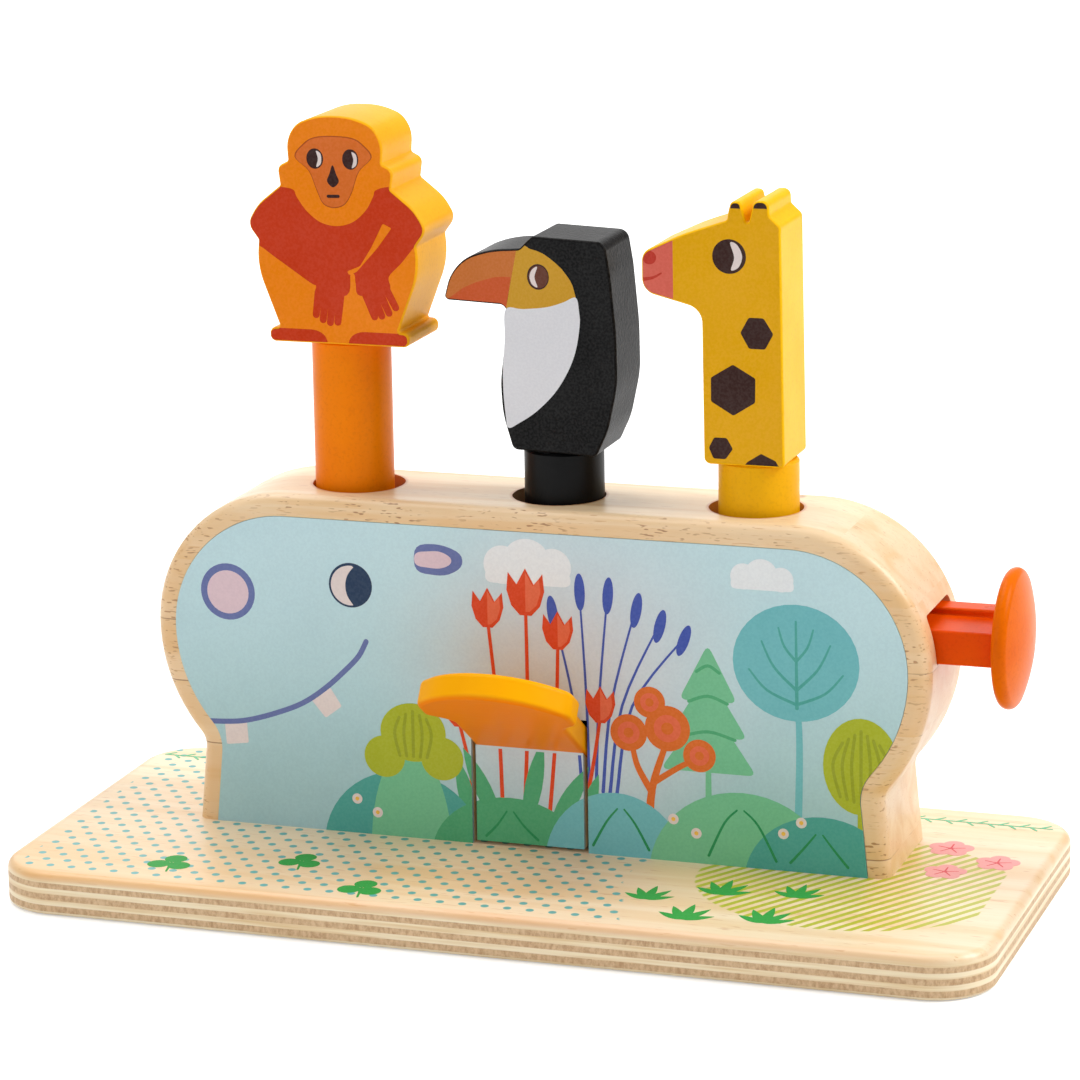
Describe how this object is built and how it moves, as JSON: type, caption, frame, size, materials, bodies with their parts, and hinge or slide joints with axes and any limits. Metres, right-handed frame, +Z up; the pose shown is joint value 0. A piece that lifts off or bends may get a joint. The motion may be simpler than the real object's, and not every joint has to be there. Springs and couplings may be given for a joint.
{
  "type": "pop up animal toy",
  "caption": "Wooden pop up toy: animals on pegs in a hippo shaped housing, one sprung, one raised by a front lever, one raised by a side knob.",
  "frame": {"origin": "centre of the base board's underside, which stands on the floor", "axes": "+X along the front towards the push knob, +Y from the printed front to the back, +Z up"},
  "size_m": [0.278, 0.124, 0.2121],
  "materials": {
    "plywood": "pale birch plywood, printed on top",
    "housing_wood": "pale wood boards, satin varnish",
    "panel_print": "printed plywood, satin varnish",
    "panel_plain": "plain plywood",
    "plain_wood": "plain beech",
    "monkey_paint": "painted wood, printed front",
    "toucan_paint": "painted wood, printed front",
    "giraffe_paint": "painted wood, printed front",
    "orange_peg": "painted wood",
    "black_peg": "painted wood",
    "yellow_peg": "painted wood",
    "knob_paint": "gloss orange-red paint",
    "tab_paint": "gloss yellow-orange paint",
    "screw_steel": "zinc plated",
    "spring_steel": "bare spring wire"
  },
  "bodies": {
    "housing": {"base_board": "plywood", "housing": "housing_wood", "front_panel": "panel_print", "back_panel": "panel_plain", "guide_plate": "plain_wood", "base_screws": "screw_steel", "back_panel_screws": "screw_steel", "guide_plate_screws": "screw_steel", "pivot_block_left": "plain_wood", "pivot_block_right": "plain_wood", "lever_pin": "screw_steel", "spring_post": "plain_wood", "monkey_spring": "spring_steel"},
    "monkey": {"monkey_figure": "monkey_paint", "monkey_peg": "orange_peg", "monkey_dowel": "plain_wood", "monkey_stop_pin": "plain_wood"},
    "toucan": {"toucan_figure": "toucan_paint", "toucan_peg": "black_peg", "toucan_dowel": "plain_wood", "toucan_stop_pin": "plain_wood"},
    "giraffe": {"giraffe_figure": "giraffe_paint", "giraffe_peg": "yellow_peg", "giraffe_dowel": "plain_wood", "giraffe_stop_pin": "plain_wood"},
    "push_bar": {"push_bar": "knob_paint", "push_knob": "knob_paint", "knob_dowel": "plain_wood", "push_bar_stop_pin": "plain_wood"},
    "lever": {"lever_tab": "tab_paint", "lever_flap": "panel_print", "lever_arm": "plain_wood"}
  },
  "joints": [
    {"name": "monkey_slide", "type": "slide", "parent": "housing", "child": "monkey", "axis": [0, 0, 1], "range_m": [-0.028, 0], "stiffness_N_per_m": 150, "springref_m": 0.015, "deforming": ["monkey_spring"]},
    {"name": "lever_hinge", "type": "hinge", "parent": "housing", "child": "lever", "pos_m": [0, 0.0009, 0.0411], "axis": [1, 0, 0], "range_deg": [0, 34]},
    {"name": "toucan_slide", "type": "slide", "parent": "housing", "child": "toucan", "axis": [0, 0, 1], "range_m": [0, 0.01403]},
    {"name": "push_slide", "type": "slide", "parent": "housing", "child": "push_bar", "axis": [-1, 0, 0], "range_m": [0, 0.013]},
    {"name": "giraffe_slide", "type": "slide", "parent": "housing", "child": "giraffe", "axis": [0, 0, 1], "range_m": [0, 0.013]}
  ],
  "couplings": [
    {"joint": "lever_hinge", "follows": "toucan_slide", "rad_per_m": 42.28},
    {"joint": "giraffe_slide", "follows": "push_slide", "ratio": 1}
  ]
}
